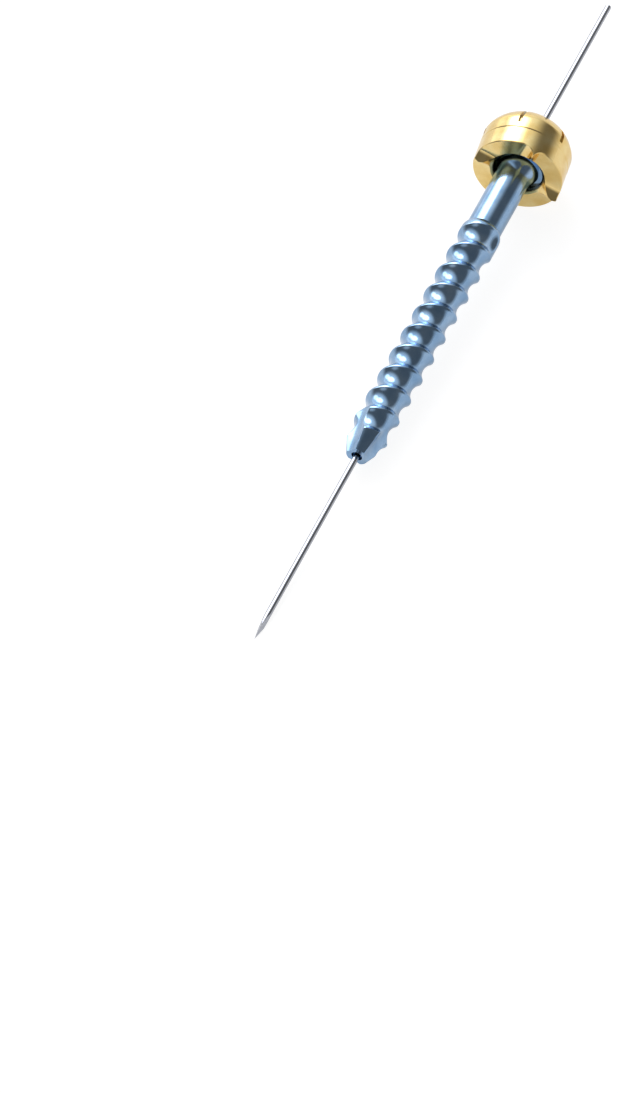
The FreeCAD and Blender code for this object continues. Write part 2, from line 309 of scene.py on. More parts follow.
# %% Sizes of the head and the bore
NECK_START_Z = -3.88
COLLAR_LOW_Z = -2.70
COLLAR_LOW_R = 2.50
COLLAR_TOP_R = 2.82
BALL_LOW_Z = -1.70
BALL_R = 3.75
HEAD_TOP_Z = 2.30
HEAD_EDGE = 0.15
SOCKET_FLATS = 3.5
SOCKET_FLOOR_Z = -0.40
SOCKET_LEAD_IN = 0.10
SOCKET_CONE_RISE = 0.90
WIRE_R = 0.40
WIRE_CLEARANCE = 0.05
MOUTH_R = 0.72
MOUTH_DEPTH = 1.2
print("screw is", round(HEAD_TOP_Z - TIP_Z, 1), "mm long")

# %% Profile from shank to socket
SHANK_STEPS, NECK_STEPS, COLLAR_STEPS, COLLAR_FACE_STEPS, BALL_STEPS = 6, 10, 3, 2, 36


def screw_profile():
    """Radius and height pairs from the shank over the head to the edge of the socket."""
    rise, length = COLLAR_LOW_R - SHANK_R, COLLAR_LOW_Z - NECK_START_Z
    flare_r = (length ** 2 + rise ** 2) / (2.0 * rise)
    shank_end, collar_low = (SHANK_R, NECK_START_Z), (COLLAR_LOW_R, COLLAR_LOW_Z)
    ball_low = on_ball(BALL_R, BALL_LOW_Z)
    ball_high = on_ball(BALL_R, HEAD_TOP_Z - HEAD_EDGE)
    shoulder = (ball_high[0] - 2.0 * HEAD_EDGE, HEAD_TOP_Z)
    return np.vstack([
        run((SHANK_R, SCREW_TOP_Z), shank_end, SHANK_STEPS),
        bow(shank_end, collar_low, flare_r, -1, NECK_STEPS),
        run(collar_low, (COLLAR_TOP_R, BALL_LOW_Z), COLLAR_STEPS),
        run((COLLAR_TOP_R, BALL_LOW_Z), ball_low, COLLAR_FACE_STEPS),
        bow(ball_low, ball_high, BALL_R, 1, BALL_STEPS),
        [shoulder],
    ])


# %% Rows of the socket and the bore
corner_r = SOCKET_FLATS / math.sqrt(3.0)
sixth = np.mod(theta, np.pi / 3.0) - np.pi / 6.0
hexagon_r = SOCKET_FLATS / 2.0 / np.cos(sixth)
bore_r = WIRE_R + WIRE_CLEARANCE
mouth_z = TIP_Z + MOUTH_DEPTH
outside = screw_profile()
lead_in_z = HEAD_TOP_Z - SOCKET_LEAD_IN + hexagon_r - corner_r
inside_r = [corner_r + SOCKET_LEAD_IN, hexagon_r, hexagon_r, bore_r + SOCKET_CONE_RISE]
inside_r += [bore_r, bore_r, MOUTH_R, MOUTH_R]
inside_z = [HEAD_TOP_Z, lead_in_z, SOCKET_FLOOR_Z, SOCKET_FLOOR_Z]
inside_z += [SOCKET_FLOOR_Z - SOCKET_CONE_RISE, mouth_z + MOUTH_R - bore_r, mouth_z, TIP_Z]
ones = np.ones_like(theta)
screw_r = np.hstack([thread_r, outside[:, 0] * ones] + [r * ones for r in inside_r])
screw_z = np.hstack([thread_z, outside[:, 1] * ones] + [z * ones for z in inside_z])
print("rows on the head:", len(outside), "and inside:", len(inside_r))

# %% Screw mesh
thread_rows, screw_rows = thread_z.shape[1], screw_z.shape[1]
screw_points = np.stack([screw_r * np.cos(theta), screw_r * np.sin(theta), screw_z], axis=-1)
climbing = grid_faces(SCREW_COLUMNS, thread_rows, closed_profile=False, shift=len(one_pitch))
# The same points, numbered as they stand in the longer columns of the whole screw.
climbing = climbing // thread_rows * screw_rows + climbing % thread_rows
level = grid_faces(SCREW_COLUMNS, screw_rows).reshape(SCREW_COLUMNS, screw_rows, 4)
level = level[:, thread_rows - 1:].reshape(-1, 4)
screw = make_piece(
    "screw_body", "screw", "screw", SCREW_AXIS, screw_points, np.vstack([climbing, level])
)

# %% [markdown]
# ## The toothed ring
# The washer's underside was milled: a flat floor and four sharp radial teeth with hollow flanks, which
# bite into the bone. The teeth are straight, and with columns that all point at the axis their flanks
# would turn into steps. So the columns run beside each tooth at fixed distances and only fan out between
# the teeth. The height above the floor is the smaller of the flank's and the blank's.

# %% Sizes of the washer
WASHER_R = 5.80
FLOOR_Z = -2.69
TOOTH_HEIGHT = 1.30
TOOTH_INNER_HEIGHT = 1.05
TOOTH_RIM_HEIGHT = 1.08
TOOTH_PEAK_R = 5.20
FLANK_TOP_HEIGHT = 1.38
FLANK_HALF_WIDTH = 1.65
TOOTH_COUNT = 4
TOOTH_DEG = 24.0
MOUTH_CONE_R = 3.55
RING_BORE_R = 3.28
BALL_CLEARANCE = 0.04
SEAT_R = BALL_R + BALL_CLEARANCE
SEAM_CHAMFER = 0.10
SPIGOT_R = 4.75
SPIGOT_DEPTH = 0.97
SPIGOT_GAP = 0.05
SPIGOT_END_GAP = 0.03
RIM_EDGE = 0.09
print("washer is", 2.0 * WASHER_R, "mm across")

# %% Columns that run beside teeth or slots
def fan_columns(half_width, offsets, fan_steps, count, first_deg):
    """Columns for each repeat, from one mid-line to the next: their distance beside the feature, their
    share of the fan past it, their side of it and its angle."""
    edge = np.full(fan_steps, half_width)
    beside = np.concatenate([edge, offsets[::-1], offsets[1:], edge])
    fan = np.linspace(1.0, 0.0, fan_steps + 1)[:-1]
    share = np.concatenate([fan, np.zeros(2 * len(offsets) - 1), fan[::-1]])[:-1]
    beside = beside[:-1]
    sign = np.where(np.arange(len(beside)) < fan_steps + len(offsets) - 1, -1.0, 1.0)
    centre = np.radians(first_deg + 360.0 / count * np.arange(count))
    repeated = [np.tile(value, count) for value in (beside, share, sign)]
    return (*repeated, np.repeat(centre, len(beside)))


def fan_angle(radius, columns, half_width, count):
    """Angle of each point: beside the feature the arcsine of distance over radius, which keeps the
    column straight; past it, spread evenly to the middle of the gap."""
    beside, share, sign, centre = (value[:, None] for value in columns)
    edge = np.arcsin(half_width / radius)
    return centre + sign * (np.arcsin(beside / radius) + share * (np.pi / count - edge))


# %% Columns and flanks of the teeth
FLANK_COLUMNS = 25
FLANK_CROWDING = 1.6
TOOTH_FAN_STEPS = 14
flank_r = (FLANK_HALF_WIDTH ** 2 + FLANK_TOP_HEIGHT ** 2) / (2.0 * FLANK_TOP_HEIGHT)
tooth_offsets = FLANK_HALF_WIDTH * np.linspace(0.0, 1.0, FLANK_COLUMNS) ** FLANK_CROWDING
tooth_columns = fan_columns(FLANK_HALF_WIDTH, tooth_offsets, TOOTH_FAN_STEPS, TOOTH_COUNT, TOOTH_DEG)
# A flank is a hollow arc: it leaves the floor level and is steepest at the crest.
flank = flank_r - np.sqrt(flank_r ** 2 - (FLANK_HALF_WIDTH - tooth_columns[0][:, None]) ** 2)
cone_top_z = FLOOR_Z + MOUTH_CONE_R - RING_BORE_R
print("flank radius", round(flank_r, 3), "columns", len(flank))

# %% Heights of the teeth
CONE_STEPS, INNER_STEPS, OUTER_STEPS = 6, 9, 7


def blank_height(radius):
    """Height of the turned blank above the floor: mouth cone, rise to the peak, fall to the rim."""
    edge_r = [MOUTH_CONE_R, MOUTH_CONE_R + TOOTH_INNER_HEIGHT, TOOTH_PEAK_R, WASHER_R]
    return np.interp(radius, edge_r, [0.0, TOOTH_INNER_HEIGHT, TOOTH_HEIGHT, TOOTH_RIM_HEIGHT])


def tooth_rows():
    """Radius and height of each column from the mouth cone to the rim: over the cone it stands as high
    as the cone does, then as high as the lower of the flank and the blank."""
    foot = MOUTH_CONE_R + np.minimum(flank, TOOTH_INNER_HEIGHT)
    cone = np.linspace(0.0, 1.0, CONE_STEPS + 1)[None, :]
    inner = np.linspace(0.0, 1.0, INNER_STEPS + 1)[None, 1:]
    outer = np.linspace(0.0, 1.0, OUTER_STEPS + 1)[None, 1:]
    cone_r = RING_BORE_R + cone * (foot - RING_BORE_R)
    inner_r = foot + inner * (TOOTH_PEAK_R - foot)
    outer_r = TOOTH_PEAK_R + outer * (WASHER_R - RIM_EDGE - TOOTH_PEAK_R) + 0.0 * foot
    cone_z = cone_top_z - (cone_r - RING_BORE_R)
    top_r = np.hstack([inner_r, outer_r])
    top_z = FLOOR_Z - soft_min(flank + 0.0 * top_r, blank_height(top_r), EDGE_BLEND)
    top_z = np.where(flank > 0.0, top_z, FLOOR_Z)
    return np.hstack([cone_r, top_r]), np.hstack([cone_z, top_z])


# %% Toothed ring mesh
RING_SEAT_STEPS = 8
face_r, face_z = tooth_rows()
rim_z = face_z[:, -1:] + RIM_EDGE
step_r, step_z = SPIGOT_R + SPIGOT_GAP, -SPIGOT_DEPTH - SPIGOT_END_GAP
seat_top = on_ball(SEAT_R, step_z)
bore_corner = (RING_BORE_R, -on_ball(SEAT_R, RING_BORE_R)[0])
wall = [(WASHER_R, -SEAM_CHAMFER), (WASHER_R - SEAM_CHAMFER, 0.0), (step_r, 0.0)]
seat = bow(seat_top, bore_corner, SEAT_R, -1, RING_SEAT_STEPS)
rest = np.vstack([wall, [(step_r, step_z), seat_top], seat])
ones = np.ones_like(rim_z)
ring_r = np.hstack([face_r, WASHER_R * ones, rest[:, 0] * ones])
ring_z = np.hstack([face_z, rim_z, rest[:, 1] * ones])
ring_angle = fan_angle(ring_r, tooth_columns, FLANK_HALF_WIDTH, TOOTH_COUNT)
ring_points = np.stack([ring_r * np.cos(ring_angle), ring_r * np.sin(ring_angle), ring_z], axis=-1)
toothed_ring = make_piece(
    "washer_toothed_ring_body", "washer_toothed_ring", "washer", WASHER_AXIS, ring_points,
    grid_faces(*ring_r.shape)
)

# %% [markdown]
# ## The cap ring
# The second ring closes the washer over the ball. Its back is domed, and six saw slots run over the dome
# to the access hole. They could be cut with thin boxes, but the kind of columns that suits the teeth
# suits them as well. A slot has upright walls, so two columns share its edge: one on the dome, one on its
# floor. The floors are marked so that the material can paint shade on them.

# %% Sizes of the cap ring
BAND_TOP_Z = 1.90
DOME_ARC_R = 4.5
BACK_Z = 4.47
BACK_EDGE_R = 3.88
ACCESS_R = 3.0
ACCESS_BACK_R = 3.45
ACCESS_CHAMFER = 0.15
SLOT_COUNT = 6
SLOT_FIRST_DEG = 52.5
SLOT_WIDTH = 0.50
SLOT_START_Z = 0.85
SLOT_DEPTH = 0.35
SLOT_FLOOR_BENDS = [(5.05, 2.80), (4.25, 3.60)]
SLOT_END = (3.35, 3.87)

# %% Profiles of the cap ring
BAND_STEPS, DOME_STEPS, SEAT_STEPS = 3, 24, 24


def cap_profiles():
    """The cap's closed profile on the dome and, with as many points, in a slot: the same spigot and seat,
    but the band, the arc of the dome and the back give way to the slot's straight runs."""
    band_top, dome_end = (WASHER_R, BAND_TOP_Z), (BACK_EDGE_R, BACK_Z)
    spigot_low = on_ball(SEAT_R, -SPIGOT_DEPTH)
    access_low = (ACCESS_R, on_ball(SEAT_R, ACCESS_R)[0])
    spigot = [(SPIGOT_R, -SPIGOT_DEPTH), (SPIGOT_R, 0.0)]
    seam = [(WASHER_R - SEAM_CHAMFER, 0.0), (WASHER_R, SEAM_CHAMFER)]
    below = np.vstack([spigot, seam, [(WASHER_R, SLOT_START_Z)]])
    dome = np.vstack([
        [(WASHER_R, SLOT_START_Z)],
        run((WASHER_R, SLOT_START_Z), band_top, BAND_STEPS),
        bow(band_top, dome_end, DOME_ARC_R, 1, DOME_STEPS),
        [(ACCESS_BACK_R + ACCESS_CHAMFER, BACK_Z), (ACCESS_BACK_R, BACK_Z - ACCESS_CHAMFER), SLOT_END],
    ])
    floor_r = WASHER_R - SLOT_DEPTH
    floor = [(floor_r, SLOT_START_Z), (floor_r, BAND_TOP_Z), *SLOT_FLOOR_BENDS, SLOT_END]
    corners = np.array(floor)
    sides = np.linalg.norm(np.diff(corners, axis=0), axis=1)
    length = np.concatenate([[0.0], np.cumsum(sides)])
    even = np.linspace(0.0, length[-1], len(dome))
    slot = np.stack([np.interp(even, length, corners[:, k]) for k in (0, 1)], axis=1)
    above = np.vstack([[access_low], bow(access_low, spigot_low, SEAT_R, -1, SEAT_STEPS)])
    return np.vstack([below, dome, above]), np.vstack([below, slot, above])


# %% Cap ring mesh
SLOT_FAN_STEPS = 18
SLOT_INNER_COLUMN = 0.12
slot_half = SLOT_WIDTH / 2.0
slot_offsets = np.array([0.0, SLOT_INNER_COLUMN, slot_half, slot_half])
slot_columns = fan_columns(slot_half, slot_offsets, SLOT_FAN_STEPS, SLOT_COUNT, SLOT_FIRST_DEG)
per_slot = len(slot_columns[0]) // SLOT_COUNT
one_edge, other_edge = SLOT_FAN_STEPS, SLOT_FAN_STEPS + 2 * (len(slot_offsets) - 1)
place = np.tile(np.arange(per_slot), SLOT_COUNT)[:, None]
in_slot = (place > one_edge) & (place < other_edge)
on_dome, in_floor = cap_profiles()
cap_r = np.where(in_slot, in_floor[None, :, 0], on_dome[None, :, 0])
cap_z = np.where(in_slot, in_floor[None, :, 1], on_dome[None, :, 1])
cap_angle = fan_angle(cap_r, slot_columns, slot_half, SLOT_COUNT)
cap_points = np.stack([cap_r * np.cos(cap_angle), cap_r * np.sin(cap_angle), cap_z], axis=-1)
# A floor is where the slot's profile leaves that of the dome; the floors get painted shade.
on_floor = in_slot & (on_dome != in_floor).any(axis=1)
cap_ring = make_piece(
    "washer_cap_ring_body", "washer_cap_ring", "washer", WASHER_AXIS, cap_points,
    grid_faces(*cap_r.shape), slot_floor_shade=on_floor
)

# %% [markdown]
# ## The guide wire
# A straight drawn wire whose end was ground on three sides to a point. A cylinder with a cone on it
# would miss the three flats. So at each height the radius is the wire's own or, nearer the tip, that of
# the flat that was ground there, which grows evenly from the tip and is divided by the cosine of the
# angle off the flat's middle. At rest one flat faces the table.

# %% Sizes of the wire
WIRE_TIP_Z = -82.4
WIRE_END_Z = 27.27
WIRE_POINT_LENGTH = 4.2
WIRE_FACETS = 3
WIRE_FACET_DEG = 180.0
WIRE_END_CHAMFER = 0.06
WIRE_COLUMNS, POINT_ROWS, BODY_ROWS = 72, 40, 30
print("wire is", round(WIRE_END_Z - WIRE_TIP_Z, 1), "mm long")

# %% Guide wire mesh
around = 2.0 * np.pi * np.arange(WIRE_COLUMNS)[:, None] / WIRE_COLUMNS
half_facet = np.pi / WIRE_FACETS
past_facet = around - math.radians(WIRE_FACET_DEG)
from_facet = np.mod(past_facet + half_facet, 2.0 * half_facet) - half_facet
point_z = WIRE_TIP_Z + WIRE_POINT_LENGTH * np.linspace(0.0, 1.0, POINT_ROWS)
body_z = np.linspace(point_z[-1], WIRE_END_Z - WIRE_END_CHAMFER, BODY_ROWS)[1:]
wire_z = np.concatenate([point_z, body_z, [WIRE_END_Z, WIRE_END_Z]])[None, :] + 0.0 * around
ground_r = (wire_z - WIRE_TIP_Z) * WIRE_R / WIRE_POINT_LENGTH / np.cos(from_facet)
wire_r = np.minimum(ground_r, WIRE_R)
wire_r[:, -2] = WIRE_R - WIRE_END_CHAMFER
wire_r[:, -1] = 0.0
wire_points = np.stack([wire_r * np.cos(around), wire_r * np.sin(around), wire_z], axis=-1)
guide_wire = make_piece(
    "guide_wire_body", "guide_wire", "wire", SCREW_AXIS, wire_points,
    grid_faces(*wire_r.shape, closed_profile=False)
)

# %% [markdown]
# ## Helpers for materials
# Colours are written as they look on a screen, while Blender works with linear light, so one function
# converts them. Another adds a node with its settings and links, which keeps a material about as short
# as its recipe. Image textures could give the patterns, but they would repeat and stretch. Noise that is
# read from the attribute own doesn't, and its scales are in millimetres.

# %% Colour and node helpers
def linear(code):
    """An sRGB hex colour as linear red, green, blue and full alpha."""
    value = np.array([int(code[k:k + 2], 16) for k in (1, 3, 5)]) / 255.0
    value = np.where(value <= 0.04045, value / 12.92, ((value + 0.055) / 1.055) ** 2.4)
    return (*value.tolist(), 1.0)


def add(tree, kind, settings=(), links=()):
    """Adds a node. A setting names a property or, failing that, an input; a link names an input."""
    node = tree.nodes.new(kind)
    for name, value in dict(settings).items():
        if isinstance(name, str) and hasattr(node, name):
            setattr(node, name, value)
        else:
            node.inputs[name].default_value = value
    for name, source in dict(links).items():
        tree.links.new(source, node.inputs[name])
    return node


def set_ramp(ramp, stops):
    """Gives a colour ramp its stops, as pairs of place and hex colour."""
    while len(ramp.color_ramp.elements) < len(stops):
        ramp.color_ramp.elements.new(0.5)
    for element, (place, code) in zip(ramp.color_ramp.elements, stops):
        element.position = place
        element.color = linear(code)


# %% Bare metal
def bare_metal(name):
    """A new metal with the default IOR: its material, its node tree, its shader and its own position."""
    material = bpy.data.materials.new(name)
    material.use_nodes = True
    tree = material.node_tree
    shader = tree.nodes["Principled BSDF"]
    shader.inputs["Metallic"].default_value = 1.0
    own = add(tree, "ShaderNodeAttribute", {"attribute_name": "own"})
    return material, tree, shader, own.outputs["Vector"]


# %% [markdown]
# ## Colour of the oxide film
# Anodised titanium keeps the mirror of the metal under it. Its colour comes from a clear oxide film, some
# tens of nanometres thick, and shifts a little where the film is thicker. One flat colour would look like
# paint. A ramp from thin to thick, steered by a noise whose clouds are about two millimetres wide, gives
# the eye the faint unevenness of a real film.

# %% Film colour
CLOUDS_PER_MM = 0.45
# Share of the film's colour left on the floors of saw cuts: painted shade.
SLOT_SHADE_SHARE = 0.45


def film_colour(tree, own, film):
    """The film's colour in clouds, with painted shade on the floors of saw cuts: darker there, as if the
    slot's walls kept the light out, so that each slot reads as a dark line."""
    clouds = add(tree, "ShaderNodeTexNoise", {"Scale": CLOUDS_PER_MM, "Detail": 3.0}, {"Vector": own})
    ramp = add(tree, "ShaderNodeValToRGB", links={"Fac": clouds.outputs["Fac"]})
    set_ramp(ramp, film)
    # Painted shade: the floors of saw cuts get only part of the film's colour.
    slot_floor_shade = add(tree, "ShaderNodeAttribute", {"attribute_name": "slot_floor_shade"})
    painted_slot_shade = add(tree, "ShaderNodeMapRange", {"To Min": 1.0, "To Max": SLOT_SHADE_SHARE},
                 {"Value": slot_floor_shade.outputs["Fac"]})
    scaled = add(tree, "ShaderNodeVectorMath", {"operation": "SCALE"},
                 {0: ramp.outputs["Color"], "Scale": painted_slot_shade.outputs["Result"]})
    return scaled.outputs["Vector"]


# %% Shade inside a bore
def bore_shade(tree, own, colour, bore_end_r, full_r, share):
    """The colour times a share that climbs with the distance from the axis, from share at bore_end_r to 1
    at full_r. Hardly any light gets into the washer's seat: a dark bore inside bright faces."""
    flat = add(tree, "ShaderNodeVectorMath", {"operation": "MULTIPLY", 1: (1.0, 1.0, 0.0)}, {0: own})
    radius = add(tree, "ShaderNodeVectorMath", {"operation": "LENGTH"}, {0: flat.outputs["Vector"]})
    reach = {"From Min": bore_end_r, "From Max": full_r, "To Min": share, "To Max": 1.0}
    dull = add(tree, "ShaderNodeMapRange", reach, {"Value": radius.outputs["Value"]})
    scaled = add(tree, "ShaderNodeVectorMath", {"operation": "SCALE"},
                 {0: colour, "Scale": dull.outputs["Result"]})
    return scaled.outputs["Vector"]


# %% [markdown]
# ## Polish
# The parts were turned and then polished, which leaves rings round the axis and a fine grain over them.
# An even roughness would make them look like plastic. The rings are a noise of the height alone and the
# grain is one of all three directions. Together they steer the gloss, and the rings also give the
# surface a trace of relief.

# %% Rings and grain
GRAIN_PER_MM = 9.0
# Two noises multiplied mostly lie between these two values.
PRODUCT_LOW, PRODUCT_HIGH = 0.1, 0.45
RING_STRENGTH, RING_HEIGHT = 0.12, 0.002 * MM


def polish(tree, shader, own, rings_per_mm, roughness):
    """Turning rings, drawn coarser than the real ones so that they show, and the grain of the polishing
    wheel: highlights with a silky edge, and a gloss that isn't quite even."""
    axial = add(tree, "ShaderNodeSeparateXYZ", links={"Vector": own})
    line = {"noise_dimensions": "1D", "Scale": rings_per_mm, "Detail": 4.0}
    rings = add(tree, "ShaderNodeTexNoise", line, {"W": axial.outputs["Z"]})
    grain = add(tree, "ShaderNodeTexNoise", {"Scale": GRAIN_PER_MM, "Detail": 5.0}, {"Vector": own})
    both = add(tree, "ShaderNodeMath", {"operation": "MULTIPLY"},
               {0: rings.outputs["Fac"], 1: grain.outputs["Fac"]})
    gloss = {"From Min": PRODUCT_LOW, "From Max": PRODUCT_HIGH, "To Min": roughness[0],
             "To Max": roughness[1]}
    rough = add(tree, "ShaderNodeMapRange", gloss, {"Value": both.outputs["Value"]})
    tree.links.new(rough.outputs["Result"], shader.inputs["Roughness"])
    bump = add(tree, "ShaderNodeBump", {"Strength": RING_STRENGTH, "Distance": RING_HEIGHT},
               {"Height": rings.outputs["Fac"]})
    tree.links.new(bump.outputs["Normal"], shader.inputs["Normal"])


# %% Polished anodised titanium
def anodised_titanium(name, film, rings_per_mm, roughness, shade=()):
    """A polished, anodised titanium finish. film is the ramp of the oxide's colours from thin to thick.
    shade dulls a bore: its radius, the radius where full colour begins, the share of colour inside."""
    material, tree, shader, own = bare_metal(name)
    colour = film_colour(tree, own, film)
    if shade:
        colour = bore_shade(tree, own, colour, *shade)
    tree.links.new(colour, shader.inputs["Base Color"])
    polish(tree, shader, own, rings_per_mm, roughness)
    return material


# %% Finishes of the screw and the washer
BLUE_FILM = [(0.30, "#83A5C8"), (0.50, "#91B0D0"), (0.70, "#A2BDD8")]
GOLD_FILM = [(0.30, "#E9C577"), (0.50, "#F1D28C"), (0.70, "#F6DE9F")]
BLUE_RINGS_PER_MM, GOLD_RINGS_PER_MM = 16.0, 14.0
BLUE_ROUGHNESS, GOLD_ROUGHNESS = (0.12, 0.20), (0.10, 0.20)
BORE_SHADE = (RING_BORE_R, ACCESS_BACK_R, 0.12)
blue_titanium = anodised_titanium(
    "blue_anodised_polished_titanium", BLUE_FILM, BLUE_RINGS_PER_MM, BLUE_ROUGHNESS
)
gold_titanium = anodised_titanium(
    "gold_anodised_polished_titanium", GOLD_FILM, GOLD_RINGS_PER_MM, GOLD_ROUGHNESS, BORE_SHADE
)

# %% [markdown]
# ## Drawn steel
# The wire was drawn through a die and polished, and the die leaves streaks along it. Anisotropic gloss
# could stand for them, but noise that is squeezed across the wire and stretched along it also varies the
# tone, as on the real wire.

# %% Polished drawn steel
STREAKS_PER_MM = (10.0, 10.0, 0.15)
STEEL_TONES = [(0.3, "#A4A7AE"), (0.7, "#C3C5CB")]
STEEL_ROUGHNESS = (0.12, 0.24)


def drawn_steel():
    """Polished drawn steel wire, with faint streaks a tenth of a millimetre apart: its highlight looks
    like a bundle of fine threads."""
    material, tree, shader, own = bare_metal("polished_drawn_wire_steel")
    squeeze = add(tree, "ShaderNodeVectorMath", {"operation": "MULTIPLY", 1: STREAKS_PER_MM}, {0: own})
    streaks = add(tree, "ShaderNodeTexNoise", {"Scale": 1.0, "Detail": 3.0},
                  {"Vector": squeeze.outputs["Vector"]})
    ramp = add(tree, "ShaderNodeValToRGB", links={"Fac": streaks.outputs["Fac"]})
    set_ramp(ramp, STEEL_TONES)
    tree.links.new(ramp.outputs["Color"], shader.inputs["Base Color"])
    gloss = {"To Min": STEEL_ROUGHNESS[0], "To Max": STEEL_ROUGHNESS[1]}
    rough = add(tree, "ShaderNodeMapRange", gloss, {"Value": streaks.outputs["Fac"]})
    tree.links.new(rough.outputs["Result"], shader.inputs["Roughness"])
    return material


# %% Dress the pieces
finishes = [
    (screw, blue_titanium, "blue_anodised_titanium"),
    (toothed_ring, gold_titanium, "gold_anodised_titanium"),
    (cap_ring, gold_titanium, "gold_anodised_titanium"),
    (guide_wire, drawn_steel(), "polished_wire_steel"),
]
for piece, material, slot in finishes:
    piece.data.materials.append(material)
    print(piece.name, "wears", material.name)

# %% [markdown]
# ## Camera
# The photograph was taken from above and from the tip's side, with so long a lens that nothing seems to
# converge. The camera looks the same way, and stands so that the ball's centre falls on its own pixel.

# %% Camera at the photograph's angle
PHOTO_WIDTH, PHOTO_HEIGHT = 618, 1093
PIXELS_PER_MM = 7.99
BALL_PIXEL = (523.1, 159.1)
VIEW_AZIMUTH_DEG = 294.0
VIEW_ELEVATION_DEG = 48.2
CAMERA_DISTANCE = 1.5
SENSOR_MM = 36.0
FAR_CLIP = 50.0
azimuth, elevation = math.radians(VIEW_AZIMUTH_DEG), math.radians(VIEW_ELEVATION_DEG)
ahead = np.array([-math.sin(azimuth), math.cos(azimuth), 0.0])
right = np.array([math.cos(azimuth), math.sin(azimuth), 0.0])
back = np.array([0.0, 0.0, math.sin(elevation)]) - ahead * math.cos(elevation)
above = np.array([0.0, 0.0, math.cos(elevation)]) + ahead * math.sin(elevation)
metres_per_pixel = MM / PIXELS_PER_MM
across = (PHOTO_WIDTH / 2.0 - BALL_PIXEL[0]) * metres_per_pixel
down = (PHOTO_HEIGHT / 2.0 - BALL_PIXEL[1]) * metres_per_pixel
target = BALL_CENTRE + right * across - above * down
camera_data = bpy.data.cameras.new("camera")
camera_data.sensor_width = SENSOR_MM
camera_data.lens = SENSOR_MM * CAMERA_DISTANCE / (PHOTO_HEIGHT * metres_per_pixel)
camera_data.clip_end = FAR_CLIP
camera = bpy.data.objects.new("camera", camera_data)
turned = np.eye(4)
turned[:3, 0], turned[:3, 1], turned[:3, 2] = right, above, back
turned[:3, 3] = target + back * CAMERA_DISTANCE
camera.matrix_world = Matrix(turned.tolist())
bpy.context.scene.collection.objects.link(camera)
bpy.context.scene.camera = camera
print("lens in mm", round(camera_data.lens, 1))

# %% [markdown]
# ## Light
# Polished metal shows its surroundings, so the room itself does most of the lighting. Lamps could do it
# too, but their edges would show as hard outlines in the metal, while patches of light in the room fade
# out softly. Seen from the camera, a pale patch high behind the screw and a little to its left makes the
# white band along the shank. A wide dim patch round it makes the tones beside the band, a small one
# further left lights the left sides of the thread, and a faint one to the camera's left lights the near
# side. The rest of the room is dim, with a pale horizon. One small softbox casts the shadow.

# %% Softbox for the shadow
SOFTBOX_TOWARDS = (0.54, 0.45, 0.72)
SOFTBOX_DISTANCE = 0.9
SOFTBOX_SIZE = (0.30, 0.30)
SOFTBOX_WATTS = 0.6


def softbox(name, direction, distance, size, watts):
    """A rectangular lamp that looks at the ball from that direction."""
    lamp = bpy.data.lights.new(name, "AREA")
    lamp.shape = "RECTANGLE"
    lamp.size, lamp.size_y = size
    lamp.energy = watts
    holder = bpy.data.objects.new(name, lamp)
    way = np.array(direction, float)
    way /= np.linalg.norm(way)
    holder.location = Vector((BALL_CENTRE + way * distance).tolist())
    holder.rotation_mode = "QUATERNION"
    holder.rotation_quaternion = Vector(way.tolist()).to_track_quat("Z", "Y")
    bpy.context.scene.collection.objects.link(holder)
    return holder


key = softbox("key_softbox", SOFTBOX_TOWARDS, SOFTBOX_DISTANCE, SOFTBOX_SIZE, SOFTBOX_WATTS)
print("softbox at", [round(v, 2) for v in key.location])

# %% Patches of light in the room
# Each is a direction, the degrees within which it is full and past which it is gone, and its strength.
ROOM_PATCHES = [
    ((0.56, 0.49, 0.67), 2.0, 25.0, (2.8, 2.8, 3.4)),
    ((0.56, 0.53, 0.64), 20.0, 58.0, (0.85, 0.88, 0.90)),
    ((0.27, 0.83, 0.49), 5.0, 19.0, (2.2, 2.1, 2.0)),
    ((-0.72, 0.27, 0.60), 3.0, 24.0, (0.6, 0.6, 0.6)),
]
# The horizon's glow has faded out at this height, which is the sine of the angle above the level.
HORIZON_TOP = 0.36
HORIZON_GLOW, ROOM_GLOW = 0.75, 0.160
WHITE = (1.0, 1.0, 1.0, 1.0)


def lobe(tree, direction, way, near_deg, far_deg):
    """The share of a soft patch of light: full within near_deg of its direction, none past far_deg."""
    aim = np.array(direction, float)
    aim /= np.linalg.norm(aim)
    dot = add(tree, "ShaderNodeVectorMath", {"operation": "DOT_PRODUCT", 1: aim.tolist()}, {0: way})
    fade = {"interpolation_type": "SMOOTHERSTEP", "From Min": math.cos(math.radians(far_deg)),
            "From Max": math.cos(math.radians(near_deg)), "To Min": 0.0, "To Max": 1.0}
    return add(tree, "ShaderNodeMapRange", fade, {"Value": dot.outputs["Value"]}).outputs["Result"]


# %% Room
room = bpy.data.worlds.new("room")
bpy.context.scene.world = room
room.use_nodes = True
tree = room.node_tree
tree.nodes.clear()
way = add(tree, "ShaderNodeTexCoord").outputs["Generated"]
height = add(tree, "ShaderNodeSeparateXYZ", links={"Vector": way}).outputs["Z"]
fade = {"interpolation_type": "SMOOTHSTEP", "From Min": HORIZON_TOP, "From Max": 0.0,
        "To Min": ROOM_GLOW, "To Max": HORIZON_GLOW}
walls = add(tree, "ShaderNodeMapRange", fade, {"Value": height}).outputs["Result"]
grey = add(tree, "ShaderNodeCombineXYZ", links={"X": walls, "Y": walls, "Z": walls})
total = grey.outputs["Vector"]
for direction, near_deg, far_deg, strength in ROOM_PATCHES:
    share = lobe(tree, direction, way, near_deg, far_deg)
    patch = add(tree, "ShaderNodeVectorMath", {"operation": "SCALE", 0: strength}, {"Scale": share})
    total = add(tree, "ShaderNodeVectorMath", {"operation": "ADD"},
                {0: total, 1: patch.outputs["Vector"]}).outputs["Vector"]
print("patches of light in the room:", len(ROOM_PATCHES))

